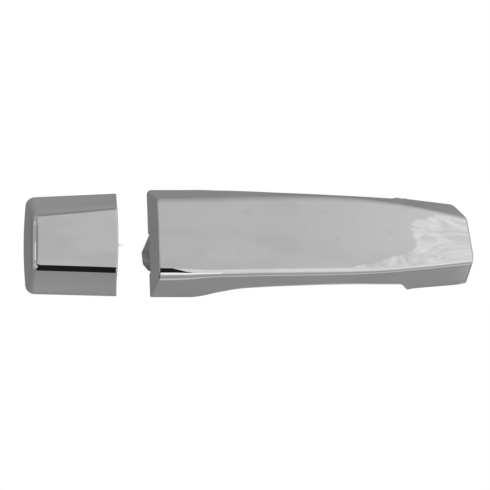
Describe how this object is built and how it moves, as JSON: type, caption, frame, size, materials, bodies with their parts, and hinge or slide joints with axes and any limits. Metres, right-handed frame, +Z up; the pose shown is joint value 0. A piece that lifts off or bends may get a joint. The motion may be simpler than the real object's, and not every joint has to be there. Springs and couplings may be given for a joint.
{
  "type": "car door handle",
  "caption": "Pull-type car door handle: tapered chrome grip and end cap outside, chassis, pivot and sprung bell crank for the latch rod inside.",
  "frame": {"origin": "on the chassis face that bears on the inside of the door skin, behind the middle of the grip, at the handle's mid height", "axes": "+X towards the pivot at the grip's tapered end, +Y into the door, +Z up"},
  "size_m": [0.2533, 0.0805, 0.0604],
  "materials": {
    "chrome": "mirror-bright chrome plating on plastic",
    "core_plastic": "fine-grained black moulding",
    "chassis_nylon": "natural pale grey glass-filled nylon, satin",
    "white_nylon": "natural white nylon, satin",
    "rubber": "matt black moulded rubber",
    "zinc_casting": "die-cast zinc, satin grey",
    "steel": "zinc-plated steel",
    "brass": "turned brass"
  },
  "bodies": {
    "chassis_assembly": {"chassis": "chassis_nylon", "rear_gasket": "rubber", "front_gasket": "rubber", "cap_gasket": "rubber", "cap_cover": "chrome", "cap_core": "core_plastic", "cap_insert": "brass", "cap_screw": "steel", "cap_washer": "steel", "front_fixing_screw": "steel", "rear_fixing_screw": "steel", "pivot_pin": "steel", "pivot_clip": "steel", "crank_shaft": "steel", "crank_shaft_clip": "steel", "crank_spacer": "white_nylon", "return_spring": "steel", "stop_bumper": "rubber"},
    "grip_assembly": {"grip_cover": "chrome", "grip_core": "core_plastic", "cover_screw_1": "steel", "cover_screw_2": "steel", "pull_arm": "zinc_casting", "pull_arm_screw_1": "steel", "pull_arm_screw_2": "steel", "hinge_arm": "zinc_casting", "hinge_arm_screw_1": "steel", "hinge_arm_screw_2": "steel", "pivot_bush": "white_nylon"},
    "crank_assembly": {"bell_crank": "zinc_casting", "crank_finger": "steel", "counterweight": "steel", "counterweight_rivet": "steel"},
    "rod_clip": {"rod_clip": "white_nylon"}
  },
  "joints": [
    {"name": "grip_swing", "type": "hinge", "parent": "chassis_assembly", "child": "grip_assembly", "pos_m": [0.0845, 0.012, 0], "axis": [0, 0, 1], "range_deg": [0, 10]},
    {"name": "crank_turn", "type": "hinge", "parent": "chassis_assembly", "child": "crank_assembly", "pos_m": [-0.07, 0.0196, -0.015], "axis": [1, 0, 0], "range_deg": [0, 62], "stiffness_Nm_per_rad": 0.19, "springref_deg": -74.48, "deforming": ["return_spring"]},
    {"name": "rod_clip_swivel", "type": "hinge", "parent": "crank_assembly", "child": "rod_clip", "pos_m": [-0.07, 0.03186, -0.02528], "axis": [1, 0, 0], "range_deg": [-62, 0]}
  ],
  "couplings": [
    {"joint": "crank_turn", "follows": "grip_swing", "ratio": 6.18},
    {"joint": "rod_clip_swivel", "follows": "grip_swing", "ratio": -6.18}
  ]
}
